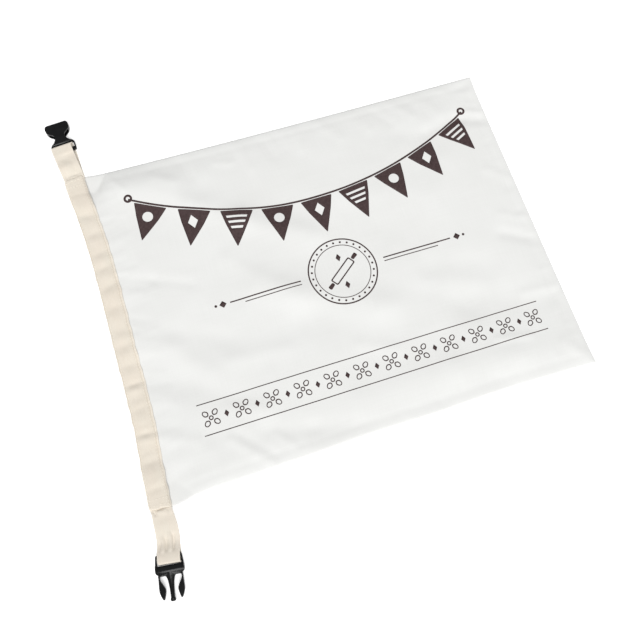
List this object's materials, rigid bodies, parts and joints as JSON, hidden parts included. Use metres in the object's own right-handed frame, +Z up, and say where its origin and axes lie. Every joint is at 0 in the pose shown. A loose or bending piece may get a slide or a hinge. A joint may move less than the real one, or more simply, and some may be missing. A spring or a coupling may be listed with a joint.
{
  "type": "cloth bread bag with side release buckle closure",
  "caption": "Flat cloth bag lying on its back, open along one end, with a webbing tape across the mouth and a side release buckle on strap loops at its ends.",
  "frame": {"origin": "under the middle of the part's box, on the surface that the bag lies on", "axes": "+X from the bag's mouth to its base, +Y across the mouth from the plug's side to the socket's side, +Z up through the front panel"},
  "size_m": [0.4414, 0.474, 0.0142],
  "materials": {
    "white_cloth": "smooth plain weave, matte",
    "cream_webbing": "woven tape, matte",
    "black_plastic": "moulded, soft sheen"
  },
  "bodies": {
    "root": {"back_panel": "white_cloth", "front_panel": "white_cloth", "mouth_tape": "cream_webbing", "socket_loop": "cream_webbing", "plug_loop": "cream_webbing", "buckle_socket": "black_plastic", "buckle_plug": "black_plastic"}
  },
  "joints": []
}
